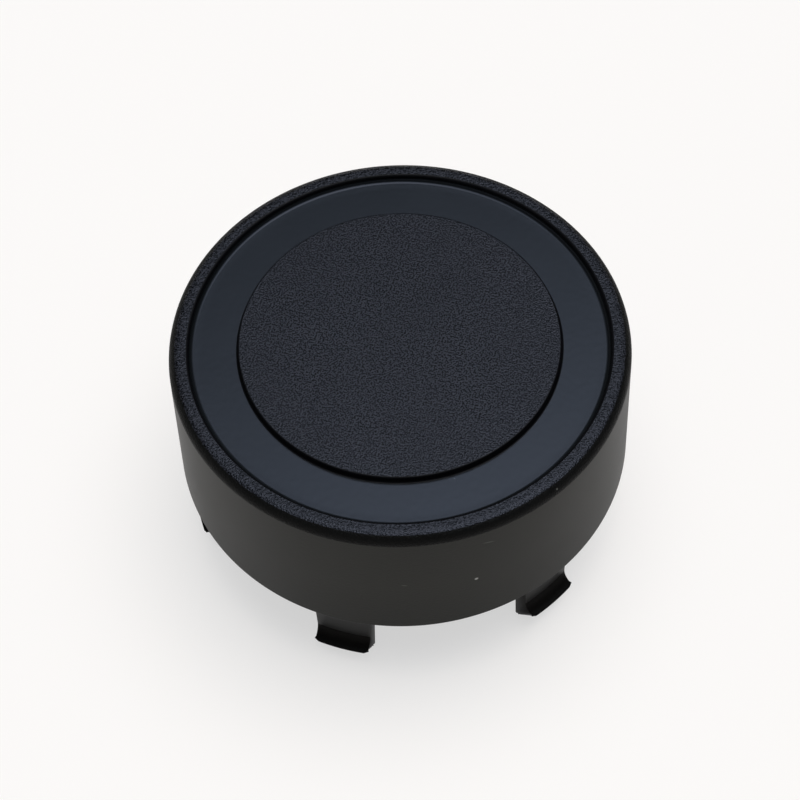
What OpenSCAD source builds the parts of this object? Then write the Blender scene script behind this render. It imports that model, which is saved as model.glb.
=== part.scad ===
// Wheel centre cap: one black plastic moulding, a round cup with six snap clips.
// Millimetres. The seat, the skirt's open edge that meets the wheel, is at height 0.
// The face looks up, and the clips reach down into the wheel's bore.

/* [Cap] */
// Diameter of the skirt at the seat, its widest place
cap_d = 76.3; // [60:0.1:110]
// Height of the rim above the seat
cap_h = 26.7; // [20:0.1:40]
// Slope of the skirt's side in degrees, opening towards the seat
side_draft = 1.4; // [0:0.1:2.5]
// Radius of the rounded outer edge of the rim
rim_edge_r = 1.9; // [0.8:0.05:2.6]
// Radius of the skirt's outer edge at the seat
seat_edge_r = 0.2; // [0.1:0.05:0.8]

/* [Face] */
// Width of the rim, from the skirt's outer face to the sunken ring
rim_w = 3.25; // [2.7:0.05:6]
// Width of the sunken ring
ring_w = 8.05; // [3:0.05:14]
// Depth of the ring below the rim
ring_depth = 1.3; // [1:0.05:1.7]
// Height of the central disc's top below the rim
disc_drop = 0.1; // [0:0.05:0.3]
// Slope in degrees of the ring's two walls
ring_draft = 4; // [0:0.5:8]
// Radius of the fillet where the ring meets the rim
rim_foot_r = 0.9; // [0.2:0.05:1]
// Radius of the fillet where the ring meets the disc
disc_foot_r = 0.3; // [0.1:0.05:0.6]
// Radius of the rim's inner edge and of the disc's edge
face_edge_r = 0.25; // [0.05:0.05:0.4]

/* [Walls] */
// Thickness of the skirt
wall_t = 2; // [1.4:0.1:2.4]
// Thickness of the top, under ring and disc alike
top_t = 2.2; // [1.4:0.1:3]
// Radius inside, between the top and the skirt
inner_corner_r = 1; // [0.3:0.1:2]
// Slope in degrees of the faces that the mould's core draws out of
core_draft = 0.5; // [0:0.1:1]

/* [Clips] */
// Number of clips round the seat
clip_n = 6; // [3:1:9]
// Width that the seat laps over the wheel, from its bore to the skirt's outer face
seat_lap = 2.9; // [2.6:0.05:8]
// Clearance between the bore and the clips' outer faces, at the radius
bore_clear = 0.1; // [0.05:0.05:0.4]
// Width of a clip at its lower end
clip_w = 9; // [6:0.1:12]
// Slope in degrees of a clip's sides, wider towards the cap
clip_taper = 1.5; // [0:0.1:3]
// Thickness of a clip's leg
clip_t = 2.5; // [1.6:0.05:3.2]
// Depth below the seat at which the barb's concave throat starts
throat_depth = 10.2; // [4:0.1:16]
// Radius of the concave throat
throat_r = 2.3; // [2.2:0.1:4]
// Reach of the barb beyond the leg's outer face
barb_reach = 1.9; // [0.8:0.05:2.15]
// Height of the barb's narrow land
barb_land = 0.3; // [0.1:0.05:1]
// Height of the lead-in slope below the barb
lead_h = 4.3; // [2:0.1:6]
// Flat left at the clip's lower end, between the lead-in and the inner face
toe_w = 0.8; // [0.8:0.1:1.5]
// Radius of the toe's inner edge
toe_r = 0.5; // [0.2:0.05:0.7]
// Radius of the clip's two lower corners, seen from outside
clip_corner_r = 0.3; // [0.2:0.1:2.5]
// Radius of the barb's two outer corners, seen from above
barb_corner_r = 0.5; // [0.2:0.1:1.5]
// Height above the seat at which the clip's leg leaves the skirt
relief_h = 12; // [3:0.5:15]

/* [Hidden] */
$fn = 96;
turn_fn = 240;
over = 1;
seat_r = cap_d / 2;
// Radius of the skirt's outer face at height z
function side_r(z) = seat_r - z * tan(side_draft);
// The same face set in by a wall of thickness t
function wall_r(z, t) = side_r(z) - t / cos(side_draft);
rim_top_r = side_r(cap_h);
rim_in_r = rim_top_r - rim_w;
disc_r = rim_in_r - ring_w;
ring_z = cap_h - ring_depth;
disc_z = cap_h - disc_drop;
ring_out_r = rim_in_r - ring_depth * tan(ring_draft);
ring_in_r = disc_r + (ring_depth - disc_drop) * tan(ring_draft);
under_z = ring_z - top_t;
bore_r = seat_r - seat_lap;
clip_out_r = bore_r - bore_clear;
clip_in_r = clip_out_r - clip_t;
barb_r = clip_out_r + barb_reach;
barb_z = -throat_depth - sqrt(pow(throat_r, 2) - pow(throat_r - barb_reach, 2));
toe_z = barb_z - barb_land - lead_h;
plastic = [0.10, 0.10, 0.11];

// What a rounding of radius r leaves of a corner between the X axis and a wall
// that leans away from it by the angle lean
module corner_web(r, lean = 0) {
    reach = r * tan(45 - lean / 2);
    difference() {
        polygon([[0, 0], [reach, 0], [reach, r], [-reach * sin(lean), reach * cos(lean)]]);
        translate([reach, r]) circle(r);
    }
}

// Half section with a drafted side and a rounded upper corner, from height low to
// height high, set in from the skirt's outer face by a wall of thickness inset
module drafted_half(inset, low, high, r) {
    cz = high - r;
    cx = wall_r(cz, inset) - r / cos(side_draft);
    translate([cx, cz]) {
        circle(r);
        polygon([
            [-cx, low - cz],
            [wall_r(low, inset) - cx, low - cz],
            [r * cos(side_draft), r * sin(side_draft)],
            [0, 0],
            [0, r],
            [-cx, r]
        ]);
    }
}

// The sunken ring, with its two foot fillets left standing
module ring_groove() {
    difference() {
        polygon([
            [ring_in_r, ring_z],
            [ring_out_r, ring_z],
            [rim_in_r, cap_h],
            [rim_in_r, cap_h + over],
            [disc_r, cap_h + over],
            [disc_r, disc_z]
        ]);
        translate([ring_in_r, ring_z]) corner_web(disc_foot_r, ring_draft);
        translate([ring_out_r, ring_z]) mirror([1, 0]) corner_web(rim_foot_r, ring_draft);
    }
    translate([rim_in_r, cap_h]) mirror([0, 1]) corner_web(face_edge_r, ring_draft);
    translate([disc_r, disc_z]) rotate(180) corner_web(face_edge_r, ring_draft);
}

// Half section of the turned cup
module cup_half() {
    difference() {
        drafted_half(0, 0, cap_h, rim_edge_r);
        translate([seat_r, 0]) mirror([1, 0]) corner_web(seat_edge_r, -side_draft);
        ring_groove();
        translate([0, disc_z]) square([disc_r, disc_drop + over]);
        drafted_half(wall_t, -over, under_z, inner_corner_r);
        translate([0, under_z - over]) square([disc_r - top_t, disc_z - top_t - under_z + over]);
    }
}

// Half section of a clip: the pad on the skirt's inner face, the leg that comes
// down from it with a relief slot behind it, and the barb with its concave
// throat, lead-in and toe
module clip_half() {
    pad_top = under_z + top_t / 2;
    pad_in_r = clip_in_r - (pad_top - relief_h) * tan(core_draft);
    difference() {
        polygon([
            [pad_in_r, pad_top],
            [clip_in_r, relief_h],
            [clip_in_r, toe_z],
            [clip_in_r + toe_w, toe_z],
            [barb_r, barb_z - barb_land],
            [barb_r, -throat_depth],
            [clip_out_r, -throat_depth],
            [clip_out_r, relief_h],
            [wall_r(relief_h, wall_t / 2), relief_h],
            [wall_r(pad_top, wall_t / 2), pad_top]
        ]);
        translate([clip_out_r + throat_r, -throat_depth]) circle(throat_r);
        translate([clip_in_r, toe_z]) corner_web(toe_r);
    }
}

// A clip's outline seen from outside, tapered, with its lower corners rounded
module clip_front() {
    toe_half = clip_w / 2;
    top_half = toe_half + (cap_h - toe_z) * tan(clip_taper);
    difference() {
        polygon([[-toe_half, toe_z], [toe_half, toe_z], [top_half, cap_h], [-top_half, cap_h]]);
        translate([-toe_half, toe_z]) corner_web(clip_corner_r, clip_taper);
        translate([toe_half, toe_z]) mirror([1, 0]) corner_web(clip_corner_r, clip_taper);
    }
}

// What the rounding of the barb's outer corner takes away, seen from above
module barb_corner() {
    throat_half = clip_w / 2 - (throat_depth + toe_z) * tan(clip_taper);
    translate([barb_r - barb_corner_r, throat_half - barb_corner_r])
        difference() {
            square(barb_corner_r + over);
            circle(barb_corner_r);
        }
}

// One clip, on the +X side
module clip() {
    difference() {
        intersection() {
            rotate([0, 0, -180 / clip_n])
                rotate_extrude(angle = 360 / clip_n, $fn = turn_fn)
                    clip_half();
            rotate([90, 0, 90])
                linear_extrude(height = cap_d)
                    clip_front();
        }
        for (side = [0, 1])
            mirror([0, side, 0])
                translate([0, 0, toe_z - over])
                    linear_extrude(height = over - toe_z - throat_depth)
                        barb_corner();
    }
}

module centre_cap() {
    color(plastic)
        union() {
            rotate_extrude($fn = turn_fn) cup_half();
            for (i = [0 : clip_n - 1])
                rotate([0, 0, (i + 0.5) * 360 / clip_n]) clip();
        }
}

centre_cap();
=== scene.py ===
from math import asin, atan2, ceil, cos, pi, radians, sin, sqrt, tan

import bmesh
import bpy
from mathutils import Matrix, Vector


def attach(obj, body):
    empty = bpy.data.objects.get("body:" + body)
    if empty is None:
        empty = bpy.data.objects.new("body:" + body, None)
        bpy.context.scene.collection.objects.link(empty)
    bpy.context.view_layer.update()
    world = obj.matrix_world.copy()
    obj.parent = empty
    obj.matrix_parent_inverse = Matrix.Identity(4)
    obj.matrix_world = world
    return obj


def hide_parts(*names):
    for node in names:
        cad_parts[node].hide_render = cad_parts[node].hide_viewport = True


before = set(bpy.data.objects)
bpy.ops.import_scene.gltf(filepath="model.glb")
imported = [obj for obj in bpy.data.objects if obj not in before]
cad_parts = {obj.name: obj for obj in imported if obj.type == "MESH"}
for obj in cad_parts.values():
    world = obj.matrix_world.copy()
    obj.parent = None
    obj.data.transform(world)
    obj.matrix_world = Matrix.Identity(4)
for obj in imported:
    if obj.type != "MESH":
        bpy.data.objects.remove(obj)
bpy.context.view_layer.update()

# Units: Blender works in metres, the sizes below are in millimetres
MM = 0.001

# Cap
CAP_D = 76.3
CAP_H = 26.7
SIDE_DRAFT = radians(1.4)
RIM_EDGE_R = 1.9
SEAT_EDGE_R = 0.2

# Face
RIM_W = 3.25
RING_W = 8.05
RING_DEPTH = 1.3
DISC_DROP = 0.1
RING_DRAFT = radians(4)
RIM_FOOT_R = 0.75
RING_RISE = 0.02
RISE_W = 1.6
RISE_R = 50
DISC_FOOT_R = 0.3
FACE_EDGE_R = 0.25
RIM_LIP_R = 0.4

# Walls
WALL_T = 2.0
TOP_T = 2.2
INNER_CORNER_R = 1.0
CORE_DRAFT = radians(0.5)
CORED_EDGE_R = 0.3
SEAT_INNER_R = 0.1

# Clips
CLIP_N = 6
CLIP_OUT_R = 35.15
CLIP_W = 9.0
CLIP_TAPER = radians(1.5)
CLIP_T = 2.5
THROAT_DEPTH = 10.2
THROAT_R = 2.3
BARB_REACH = 1.9
BARB_LAND = 0.3
LEAD_H = 4.3
TOE_W = 0.8
TOE_R = 0.5
CLIP_CORNER_R = 0.3
BARB_CORNER_R = 0.5
RELIEF_H = 12.0
CLIP_EDGE_R = 0.15
CLIP_EDGE_ANGLE = radians(40)

# Mesh: steps round the cap, across a clip, along an arc and over a bevel, the parts that a
# clip's shorter sides are cut into, the distance from an arc to the loop that supports it,
# the gap closed after the union, and the angle above which an edge stays sharp
TURN_STEPS = 360
CLIP_STEPS = 14
ARC_STEPS = 10
BEVEL_STEPS = 2
SIDE_STEP = 0.35
LONG_SIDE = 6 * SIDE_STEP
SUPPORT = 0.06
MERGE = 0.0005
SHARP_ANGLE = radians(28)

# Finishes, as material slots of the cap's mesh, of which the rim's outer edge, the steps and the
# clips' barbs and sides are darker copies with painted shade; the share of the rim's outer arc
# that is grained, and the depth below the seat at which a clip takes its barb's painted shade
GRAIN, SHADED_EDGE, RING, FOOT, SHADED_STEP, SKIRT, INSIDE, SHADED_BARB = range(8)
GRAINED_ARC = 0.3
BARB_SHADE_DEPTH = 9.0

# Camera, at the photograph's viewing angle. The picture's centre is given as an
# offset from the middle of the rim, across the picture and down it
LENS = 96.61
SENSOR_W = 36
CAM_ELEVATION = radians(56.2814)
CAM_AZIMUTH = radians(19.25)
CAM_ROLL = radians(-2.6133)
CAM_DISTANCE = 347.05
CAM_RIGHT = 0.085
CAM_DOWN = 9.784

# Dome of light: its greatest level, its lean across and behind the picture, and its
# stops as (degrees off its axis, share of the level, tint), the widest first
DOME_LEVEL = 3.1
DOME_RIGHT = 0.12
DOME_BACK = 0.12
COOL = (0.86, 0.95, 1.0)
PALE = (1.0, 1.0, 0.98)
DOME = [
    (90, 0.30, PALE),
    (78, 0.02, PALE),
    (46, 0.02, COOL),
    (38, 0.07, COOL),
    (30, 0.30, COOL),
    (22, 1.12, COOL),
    (14, 1.62, PALE),
    (6, 1.80, PALE),
]

# Floor: its size in metres, its colour, and the share of its white that is its own
FLOOR_SIZE = 8
FLOOR_COLOUR = (0.95, 0.87, 0.83)
FLOOR_ROUGH = 0.9
FLOOR_GLOW = 0.6

# Tints of the reflection on the face
RING_TINT = (0.69, 0.76, 1.0)
GRAIN_TINT = (0.72, 0.78, 1.0)

# Bump of each finish: noise scale in waves per metre, and depth in metres
GRAIN_BUMP = (3500, 0.00014)
RING_BUMP = (900, 0.00001)
SKIRT_BUMP = (2500, 0.000015)
CLIP_BUMP = (700, 0.00002)

# Painted shade in the pits between the grains: its colour, and the noise values where it starts
# and ends
PIT_SHADE = (0.0005, 0.0005, 0.0005)
PIT_SHADE_FROM = 0.42
PIT_SHADE_TO = 0.58

# Drift of colour and roughness: noise scale, share of the colour, and roughness
VARY_SCALE = 60
VARY_SPREAD = 0.12
VARY_ROUGH = 0.015

# Painted shade on the skirt: its colour at the seat, and the height over which it comes in
SKIRT_SEAT_SHADE = (0.0045, 0.0046, 0.0030)
SHADE_H = 12

# Marks of use, and a painted highlight on the ring: (place, length, slope, width, colour).
# A mark fades from the share MARK_CORE of its half size outwards
MARK_CORE = 0.4
NICK = (0.35, 0.35, 0.34)
PALE_MARK = (0.09, 0.09, 0.085)
FAINT_MARK = (0.045, 0.045, 0.040)
# Colour of the painted highlight on the ring
PAINTED_RING_GLINT = (0.03, 0.033, 0.036)
SKIRT_MARKS = [
    ((21.84, -30.92, 11.81), 0.75, 0.0, 0.7, NICK),
    ((11.53, -36.03, 13.18), 1.3, -0.2, 0.35, FAINT_MARK),
    ((23.40, -29.50, 21.68), 2.6, -0.25, 0.40, FAINT_MARK),
]
EDGE_MARKS = [
    ((31.53, -19.77, 25.87), 0.45, 0.0, 0.45, PALE_MARK),
]
# A light speck on the ring beside the disc's near edge: a painted highlight where that edge
# catches the light
PAINTED_RING_GLINTS = [
    ((15.7, -22.08, 25.4), 0.4, 0.0, 0.4, PAINTED_RING_GLINT),
]

# Derived sizes
SEAT_R = CAP_D / 2
RIM_IN_R = SEAT_R - CAP_H * tan(SIDE_DRAFT) - RIM_W
DISC_R = RIM_IN_R - RING_W
RING_Z = CAP_H - RING_DEPTH
DISC_Z = CAP_H - DISC_DROP
UNDER_Z = RING_Z - TOP_T
CLIP_IN_R = CLIP_OUT_R - CLIP_T
BARB_R = CLIP_OUT_R + BARB_REACH
BARB_Z = -THROAT_DEPTH - sqrt(THROAT_R ** 2 - (THROAT_R - BARB_REACH) ** 2)
TOE_Z = BARB_Z - BARB_LAND - LEAD_H


def wall_r(z, t=0.0):
    """Radius of the skirt's outer face at height z, set in by a wall of thickness t."""
    return SEAT_R - z * tan(SIDE_DRAFT) - t / cos(SIDE_DRAFT)


def rounded(corners):
    """An open outline of (point, finish) through corners, each given as r, z, radius, the
    arc's finish, the finish after it, and the share of the arc that already has the latter."""
    outline = []
    last = len(corners) - 1
    for i, (r, z, radius, arc_finish, finish, share) in enumerate(corners):
        here = Vector((r, z))
        if i in (0, last) or radius == 0:
            outline.append((here, finish))
            continue
        back = (Vector(corners[i - 1][:2]) - here).normalized()
        ahead = (Vector(corners[i + 1][:2]) - here).normalized()
        half = back.angle(ahead) / 2
        reach = radius / tan(half)
        centre = here + (back + ahead).normalized() * radius / sin(half)
        spoke = here + back * reach - centre
        turn = (pi - 2 * half) * (1 if back.cross(ahead) < 0 else -1)
        outline.append((here + back * (reach + SUPPORT), corners[i - 1][4]))
        for k in range(ARC_STEPS + 1):
            point = centre + Matrix.Rotation(turn * k / ARC_STEPS, 2) @ spoke
            early = k < ARC_STEPS * (1 - share)
            outline.append((point, arc_finish if early else finish))
        outline.append((here + ahead * (reach + SUPPORT), finish))
    return outline


def cup_outline():
    """Half section of the cup, from the axis under the top, round the skirt and over the face
    back to the axis."""
    side_foot = RING_DEPTH * tan(RING_DRAFT)
    disc_foot = (RING_DEPTH - DISC_DROP) * tan(RING_DRAFT)
    corners = [
        (0, DISC_Z - TOP_T, 0, INSIDE, INSIDE, 0),
        (DISC_R - TOP_T, DISC_Z - TOP_T, CORED_EDGE_R, INSIDE, INSIDE, 0),
        (DISC_R - TOP_T, UNDER_Z, CORED_EDGE_R, INSIDE, INSIDE, 0),
        (wall_r(UNDER_Z, WALL_T), UNDER_Z, INNER_CORNER_R, INSIDE, INSIDE, 0),
        (wall_r(0, WALL_T), 0, SEAT_INNER_R, INSIDE, INSIDE, 0),
        (SEAT_R, 0, SEAT_EDGE_R, SHADED_STEP, SKIRT, 0),
        (wall_r(CAP_H), CAP_H, RIM_EDGE_R, SHADED_EDGE, GRAIN, GRAINED_ARC),
        (RIM_IN_R, CAP_H, RIM_LIP_R, SHADED_STEP, SHADED_STEP, 0),
        (RIM_IN_R - side_foot, RING_Z + RING_RISE, RIM_FOOT_R, FOOT, RING, 0),
        (RIM_IN_R - side_foot - RISE_W, RING_Z, RISE_R, RING, RING, 0),
        (DISC_R + disc_foot, RING_Z, DISC_FOOT_R, SHADED_STEP, SHADED_STEP, 0),
        (DISC_R, DISC_Z, FACE_EDGE_R, SHADED_STEP, GRAIN, 0),
        (0, DISC_Z, 0, GRAIN, GRAIN, 0),
    ]
    return rounded(corners)


def add_object(name, bm):
    """A new object from a bmesh built in millimetres, which this frees."""
    bmesh.ops.recalc_face_normals(bm, faces=bm.faces)
    bmesh.ops.scale(bm, vec=(MM, MM, MM), verts=bm.verts)
    mesh = bpy.data.meshes.new(name)
    bm.to_mesh(mesh)
    bm.free()
    obj = bpy.data.objects.new(name, mesh)
    bpy.context.scene.collection.objects.link(obj)
    return obj


def turned_cup():
    """The cup, turned from its half section."""
    bm = bmesh.new()
    outline = cup_outline()
    angles = [2 * pi * k / TURN_STEPS for k in range(TURN_STEPS)]
    rings = []
    for point, _ in outline:
        if point.x == 0:
            rings.append([bm.verts.new((0, 0, point.y))] * TURN_STEPS)
            continue
        rings.append([bm.verts.new((point.x * cos(a), point.x * sin(a), point.y)) for a in angles])
    for i in range(len(outline) - 1):
        for k in range(TURN_STEPS):
            n = (k + 1) % TURN_STEPS
            loop = [rings[i][k], rings[i][n], rings[i + 1][n], rings[i + 1][k]]
            face = bm.faces.new(list(dict.fromkeys(loop)))
            face.material_index = outline[i][1]
    return add_object("cap_turned", bm)


def clip_outline():
    """Half section of a clip: pad, leg, relief slot, throat, barb, lead-in and toe."""
    pad_top = UNDER_Z + TOP_T / 2
    pad_in_r = CLIP_IN_R - (pad_top - RELIEF_H) * tan(CORE_DRAFT)
    points = [(wall_r(pad_top, WALL_T / 2), pad_top), (pad_in_r, pad_top), (CLIP_IN_R, RELIEF_H)]
    for k in range(ARC_STEPS + 1):
        a = pi + pi / 2 * k / ARC_STEPS
        points.append((CLIP_IN_R + TOE_R * (1 + cos(a)), TOE_Z + TOE_R * (1 + sin(a))))
    points.append((CLIP_IN_R + TOE_W, TOE_Z))
    points.append((BARB_R, BARB_Z - BARB_LAND))
    throat_end = asin(1 - BARB_REACH / THROAT_R)
    for k in range(ARC_STEPS + 1):
        a = -pi / 2 - throat_end - (pi / 2 - throat_end) * k / ARC_STEPS
        points.append((CLIP_OUT_R + THROAT_R * (1 + cos(a)), THROAT_R * sin(a) - THROAT_DEPTH))
    points.append((CLIP_OUT_R, RELIEF_H))
    points.append((wall_r(RELIEF_H, WALL_T / 2), RELIEF_H))
    return [Vector(point) for point in points]


def subdivided(points):
    """A closed outline whose sides are cut into parts, except those above the relief slot's
    end and the longest."""
    outline = []
    for i, here in enumerate(points):
        after = points[(i + 1) % len(points)]
        length = (after - here).length
        whole = max(here.y, after.y) > RELIEF_H or length > LONG_SIDE
        parts = 1 if whole else ceil(length / SIDE_STEP)
        outline += [here.lerp(after, k / parts) for k in range(parts)]
    return outline


def clip_half_width(r, z):
    """Half the clip's width: tapered, with the lower corners and the barb's corners rounded."""
    half = CLIP_W / 2 + (z - TOE_Z) * tan(CLIP_TAPER)
    low = CLIP_CORNER_R - (z - TOE_Z)
    if low > 0:
        half -= CLIP_CORNER_R - sqrt(max(0, CLIP_CORNER_R ** 2 - low ** 2))
    out = r - (BARB_R - BARB_CORNER_R)
    if out > 0:
        throat_half = CLIP_W / 2 - (THROAT_DEPTH + TOE_Z) * tan(CLIP_TAPER)
        half = min(half, throat_half - BARB_CORNER_R + sqrt(max(0, BARB_CORNER_R ** 2 - out ** 2)))
    return half


def clip(angle):
    """One clip, its section swept across its width and turned to the angle."""
    bm = bmesh.new()
    outline = subdivided(clip_outline())
    rows = []
    for point in outline:
        half = asin(clip_half_width(point.x, point.y) / point.x)
        row = []
        for k in range(CLIP_STEPS + 1):
            a = angle + half * (2 * k / CLIP_STEPS - 1)
            row.append(bm.verts.new((point.x * cos(a), point.x * sin(a), point.y)))
        rows.append(row)
    count = len(rows)
    for i in range(count):
        n = (i + 1) % count
        here, after = rows[i], rows[n]
        middle = (outline[i] + outline[n]) / 2
        # Faces low on the clip's outer side take the barbs' painted shade
        low = middle.y < -BARB_SHADE_DEPTH and middle.x > CLIP_IN_R + TOE_R / 2
        for k in range(CLIP_STEPS):
            face = bm.faces.new([here[k], after[k], after[k + 1], here[k + 1]])
            face.material_index = SHADED_BARB if low else INSIDE
    for side in ([row[0] for row in rows], [row[-1] for row in reversed(rows)]):
        bm.faces.new(side).material_index = SHADED_BARB
    return add_object("clip_cut", bm)


def principled(name, colour, roughness, specular, tint=(1, 1, 1)):
    """A new material, and its node tree's Principled shader."""
    material = bpy.data.materials.new(name)
    material.use_nodes = True
    shader = material.node_tree.nodes["Principled BSDF"]
    shader.inputs["Base Color"].default_value = (*colour, 1)
    shader.inputs["Roughness"].default_value = roughness
    shader.inputs["Specular IOR Level"].default_value = specular
    shader.inputs["Specular Tint"].default_value = (*tint, 1)
    return material, shader


def add_node(material, kind, **values):
    """A new node, with its properties and its inputs' values set by name."""
    node = material.node_tree.nodes.new(kind)
    for key, value in values.items():
        if key in node.inputs:
            node.inputs[key].default_value = value
        else:
            setattr(node, key, value)
    return node


def link(material, source, target):
    """Joins an output to an input."""
    material.node_tree.links.new(source, target)


def noise(material, scale, detail=2.0):
    """The factor of a noise texture in the cap's own coordinates, scale in waves per metre."""
    coords = add_node(material, "ShaderNodeTexCoord")
    texture = add_node(material, "ShaderNodeTexNoise", Scale=scale, Detail=detail)
    link(material, coords.outputs["Object"], texture.inputs["Vector"])
    return texture.outputs["Fac"]


def bumped(material, shader, scale, depth):
    """Bump from a noise of the given scale, its depth in metres."""
    bump = add_node(material, "ShaderNodeBump", Strength=1.0, Distance=depth)
    link(material, noise(material, scale), bump.inputs["Height"])
    link(material, bump.outputs["Normal"], shader.inputs["Normal"])


def ranged(material, source, low, high, from_min=0.3, from_max=0.7):
    """A value carried from one range to another, held inside it."""
    scaled = add_node(material, "ShaderNodeMapRange")
    link(material, source, scaled.inputs["Value"])
    ends = {"From Min": from_min, "From Max": from_max, "To Min": low, "To Max": high}
    for name, value in ends.items():
        scaled.inputs[name].default_value = value
    return scaled.outputs["Result"]


def blended(material, share, first, second):
    """A colour between two: each is a socket or plain numbers. The Mix node's colours are
    its inputs 6 and 7 and its output 2."""
    mix = add_node(material, "ShaderNodeMix", data_type="RGBA")
    link(material, share, mix.inputs["Factor"])
    for colour, socket in ((first, mix.inputs[6]), (second, mix.inputs[7])):
        if isinstance(colour, tuple):
            socket.default_value = (*colour, 1)
        else:
            link(material, colour, socket)
    return mix.outputs[2]


def mottled(material, shader, colour, roughness):
    """Slight drift of colour and roughness over the surface. Gives back the colour's socket."""
    drift = noise(material, VARY_SCALE)
    dark = tuple(v * (1 - VARY_SPREAD) for v in colour)
    pale = tuple(v * (1 + VARY_SPREAD) for v in colour)
    tone = blended(material, ranged(material, drift, 0, 1), dark, pale)
    link(material, tone, shader.inputs["Base Color"])
    rough = ranged(material, drift, roughness - VARY_ROUGH, roughness + VARY_ROUGH)
    link(material, rough, shader.inputs["Roughness"])
    return tone


def mark(material, place, length, angle, width):
    """A soft mask for a scratch, nick or speck, and for a painted highlight: its place in
    millimetres, its length round the cap, its slope and its width."""
    coords = add_node(material, "ShaderNodeTexCoord")
    mapping = add_node(material, "ShaderNodeMapping", vector_type="TEXTURE")
    mapping.inputs["Location"].default_value = [v * MM for v in place]
    facing = atan2(place[1], place[0]) + pi / 2
    turn = Matrix.Rotation(facing, 3, "Z") @ Matrix.Rotation(-angle, 3, "Y")
    mapping.inputs["Rotation"].default_value = turn.to_euler()
    half_length, half_width = length * MM / 2, width * MM / 2
    mapping.inputs["Scale"].default_value = (half_length, half_width, half_width)
    link(material, coords.outputs["Object"], mapping.inputs["Vector"])
    off_centre = add_node(material, "ShaderNodeVectorMath", operation="LENGTH")
    link(material, mapping.outputs["Vector"], off_centre.inputs[0])
    return ranged(material, off_centre.outputs["Value"], 1, 0, MARK_CORE, 1)


def marked(material, shader, tone, marks):
    """Lays marks, and painted highlights, over a finish whose colour is the socket tone."""
    for place, length, angle, width, colour in marks:
        tone = blended(material, mark(material, place, length, angle, width), tone, colour)
    link(material, tone, shader.inputs["Base Color"])


def plastic(name, colour, roughness, specular, bump, tint=(1, 1, 1)):
    """A plastic that drifts in tone and has a fine bump: its material, shader and tone."""
    material, shader = principled(name, colour, roughness, specular, tint)
    tone = mottled(material, shader, colour, roughness)
    bumped(material, shader, *bump)
    return material, shader, tone


def grained_plastic():
    """The grain of the rim's top and of the disc, with painted shade in the pits between the
    grains.
    """
    material, shader, tone = plastic(
        "grained_plastic", colour=(0.0155, 0.0158, 0.0200), roughness=0.20, specular=0.20,
        bump=GRAIN_BUMP, tint=GRAIN_TINT)
    grain = noise(material, GRAIN_BUMP[0], detail=0)
    # Painted shade: where the grain's noise is low, in its pits, the colour turns dark
    pit_shade = ranged(material, grain, 1, 0, PIT_SHADE_FROM, PIT_SHADE_TO)
    link(material, blended(material, pit_shade, tone, PIT_SHADE), shader.inputs["Base Color"])
    return material


def shaded_edge_plastic():
    """The rim's rounded outer edge, with painted shade: a darker copy of the plastic."""
    # Painted shade: colour and reflection set darker than on the grained top
    material, shader, tone = plastic(
        "shaded_edge_plastic", colour=(0.003, 0.003, 0.003), roughness=0.45, specular=0.06,
        bump=GRAIN_BUMP)
    marked(material, shader, tone, EDGE_MARKS)
    return material


def ring_plastic():
    """The smooth floor of the sunken ring, with a painted highlight beside the disc's near edge.
    """
    material, shader, tone = plastic(
        "ring_plastic", colour=(0.005, 0.006, 0.007), roughness=0.23, specular=0.30,
        bump=RING_BUMP, tint=RING_TINT)
    # Painted highlight: a light speck beside the disc's near edge
    marked(material, shader, tone, PAINTED_RING_GLINTS)
    return material


def foot_plastic():
    """The fillet between the ring and the rim."""
    return plastic(
        "foot_plastic", colour=(0.005, 0.006, 0.007), roughness=0.26, specular=0.22,
        bump=RING_BUMP, tint=RING_TINT)[0]


def shaded_step_plastic():
    """The ring's steep walls and the edges beside them, with painted shade: a darker copy of the
    ring's plastic.
    """
    # Painted shade: darker colour and weaker reflection than the ring's floor
    return plastic(
        "shaded_step_plastic", colour=(0.003, 0.003, 0.004), roughness=0.35, specular=0.05,
        bump=RING_BUMP)[0]


def skirt_plastic():
    """The skirt's side, with painted shade that darkens it towards the seat."""
    material, shader, tone = plastic(
        "skirt_plastic", colour=(0.0110, 0.0110, 0.0085), roughness=0.42, specular=0.10,
        bump=SKIRT_BUMP)
    coords = add_node(material, "ShaderNodeTexCoord")
    height = add_node(material, "ShaderNodeSeparateXYZ")
    link(material, coords.outputs["Object"], height.inputs[0])
    # Painted shade: the skirt's colour darkens from SHADE_H down to the seat
    low = ranged(material, height.outputs["Z"], 1, 0, 0, SHADE_H * MM)
    marked(material, shader, blended(material, low, tone, SKIRT_SEAT_SHADE), SKIRT_MARKS)
    return material


def inside_plastic():
    """The inside of the cup, and the clips' legs."""
    return plastic(
        "inside_plastic", colour=(0.008, 0.008, 0.0080), roughness=0.38, specular=0.12,
        bump=CLIP_BUMP)[0]


def shaded_barb_plastic():
    """The clips' barbs and sides, with painted shade: a darker copy of the legs' plastic."""
    # Painted shade: darker colour and almost no reflection
    return plastic(
        "shaded_barb_plastic", colour=(0.0065, 0.0061, 0.0058), roughness=0.38, specular=0.02,
        bump=CLIP_BUMP)[0]


def with_modifiers(obj, name):
    """A new object whose mesh is the given one's with its modifiers applied."""
    depsgraph = bpy.context.evaluated_depsgraph_get()
    mesh = bpy.data.meshes.new_from_object(obj.evaluated_get(depsgraph))
    mesh.name = name
    result = bpy.data.objects.new(name, mesh)
    bpy.context.scene.collection.objects.link(result)
    return result


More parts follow.
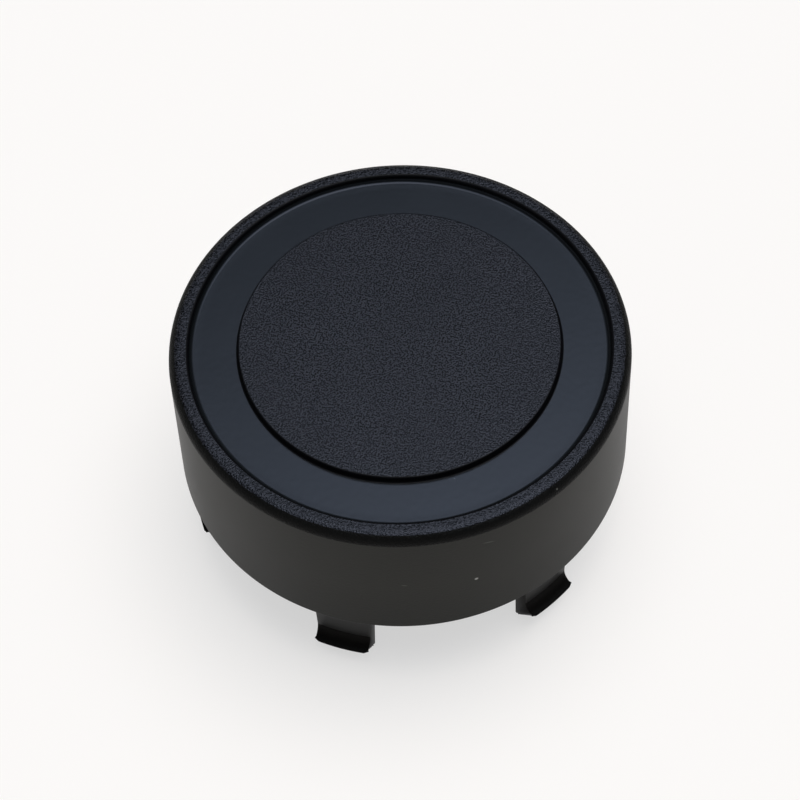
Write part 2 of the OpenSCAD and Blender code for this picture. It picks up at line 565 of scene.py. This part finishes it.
def clean(mesh):
    """Merges what the union left closer than the eye sees, and takes out flat slivers."""
    bm = bmesh.new()
    bm.from_mesh(mesh)
    bmesh.ops.remove_doubles(bm, verts=bm.verts, dist=MERGE * MM)
    bmesh.ops.dissolve_degenerate(bm, edges=bm.edges, dist=MERGE * MM)
    bmesh.ops.triangulate(bm, faces=[f for f in bm.faces if len(f.verts) > 4])
    bmesh.ops.dissolve_degenerate(bm, edges=bm.edges, dist=MERGE * MM)
    bm.to_mesh(mesh)
    bm.free()


def centre_cap():
    """The whole moulding: the turned cup joined with its clips. The finishes are listed in
    the order of the slots."""
    finishes = [grained_plastic(), shaded_edge_plastic(), ring_plastic(), foot_plastic(),
                shaded_step_plastic(), skirt_plastic(), inside_plastic(), shaded_barb_plastic()]
    cup = turned_cup()
    clips = [clip(radians((i + 0.5) * 360 / CLIP_N)) for i in range(CLIP_N)]
    for part in [cup] + clips:
        for finish in finishes:
            part.data.materials.append(finish)
    tools = []
    for part in clips:
        bevel = part.modifiers.new("edges", "BEVEL")
        bevel.width = CLIP_EDGE_R * MM
        bevel.segments = BEVEL_STEPS
        bevel.limit_method = "ANGLE"
        bevel.angle_limit = CLIP_EDGE_ANGLE
        tools.append(with_modifiers(part, "clip_tool"))
    for tool in tools:
        join = cup.modifiers.new("join", "BOOLEAN")
        join.operation = "UNION"
        join.solver = "MANIFOLD"
        join.object = tool
    cap = with_modifiers(cup, "cap")
    for part in [cup] + clips + tools:
        bpy.data.objects.remove(part)
    clean(cap.data)
    cap.data.shade_smooth()
    cap.data.set_sharp_from_angle(angle=SHARP_ANGLE)
    return cap


def camera_axes():
    """The camera's right, up and back directions before its roll."""
    turn = Matrix.Rotation(CAM_AZIMUTH, 3, "Z")
    right = turn @ Vector((1, 0, 0))
    back = turn @ Vector((0, -cos(CAM_ELEVATION), sin(CAM_ELEVATION)))
    return right, back.cross(right), back


def add_camera():
    """A camera at the photograph's angle, with depth of field off."""
    right, up, back = camera_axes()
    roll = Matrix.Rotation(CAM_ROLL, 3, back)
    right, up = roll @ right, roll @ up
    place = Vector((0, 0, CAP_H)) + back * CAM_DISTANCE + right * CAM_RIGHT - up * CAM_DOWN
    data = bpy.data.cameras.new("camera")
    data.lens = LENS
    data.sensor_width = SENSOR_W
    camera = bpy.data.objects.new("camera", data)
    matrix = Matrix((right, up, back)).transposed().to_4x4()
    matrix.translation = place * MM
    camera.matrix_world = matrix
    bpy.context.scene.collection.objects.link(camera)
    bpy.context.scene.camera = camera


def add_floor():
    """A pale floor under the toes. Part of its white is its own where the camera, a
    reflection or glass sees it, and the rest is lit and keeps the shadow."""
    bpy.ops.mesh.primitive_plane_add(size=FLOOR_SIZE, location=(0, 0, TOE_Z * MM))
    floor = bpy.context.object
    floor.name = "floor"
    material, shader = principled("floor", FLOOR_COLOUR, FLOOR_ROUGH, specular=0)
    glow = add_node(material, "ShaderNodeEmission", Color=(1, 1, 1, 1), Strength=1.0)
    path = add_node(material, "ShaderNodeLightPath")
    seen = path.outputs["Is Camera Ray"]
    for kind in ("Is Glossy Ray", "Is Transmission Ray"):
        either = add_node(material, "ShaderNodeMath", operation="MAXIMUM")
        link(material, seen, either.inputs[0])
        link(material, path.outputs[kind], either.inputs[1])
        seen = either.outputs[0]
    share = add_node(material, "ShaderNodeMath", operation="MULTIPLY")
    share.inputs[1].default_value = FLOOR_GLOW
    link(material, seen, share.inputs[0])
    mix = add_node(material, "ShaderNodeMixShader")
    link(material, share.outputs[0], mix.inputs["Fac"])
    link(material, shader.outputs[0], mix.inputs[1])
    link(material, glow.outputs[0], mix.inputs[2])
    link(material, mix.outputs[0], material.node_tree.nodes["Material Output"].inputs["Surface"])
    floor.data.materials.append(material)


def add_world():
    """Soft light from overhead, dark sky round it, and a pale belt at the horizon."""
    world = bpy.data.worlds.new("world")
    world.use_nodes = True
    bpy.context.scene.world = world
    background = world.node_tree.nodes["Background"]
    background.inputs["Strength"].default_value = DOME_LEVEL
    coords = add_node(world, "ShaderNodeTexCoord")
    lean = add_node(world, "ShaderNodeVectorMath", operation="DOT_PRODUCT")
    axis = Matrix.Rotation(CAM_AZIMUTH, 3, "Z") @ Vector((DOME_RIGHT, DOME_BACK, 1))
    lean.inputs[1].default_value = axis.normalized()
    link(world, coords.outputs["Generated"], lean.inputs[0])
    ramp = add_node(world, "ShaderNodeValToRGB")
    link(world, lean.outputs["Value"], ramp.inputs["Fac"])
    stops = ramp.color_ramp.elements
    while len(stops) < len(DOME):
        stops.new(0.5)
    for stop, (off_axis, level, tint) in zip(stops, DOME):
        stop.position = cos(radians(off_axis))
        stop.color = (*[level * t for t in tint], 1)
    link(world, ramp.outputs["Color"], background.inputs["Color"])


cap = centre_cap()
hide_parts("centre_cap")
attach(cap, "root")

add_floor()
add_world()
add_camera()

bpy.context.scene.view_settings.view_transform = "Standard"
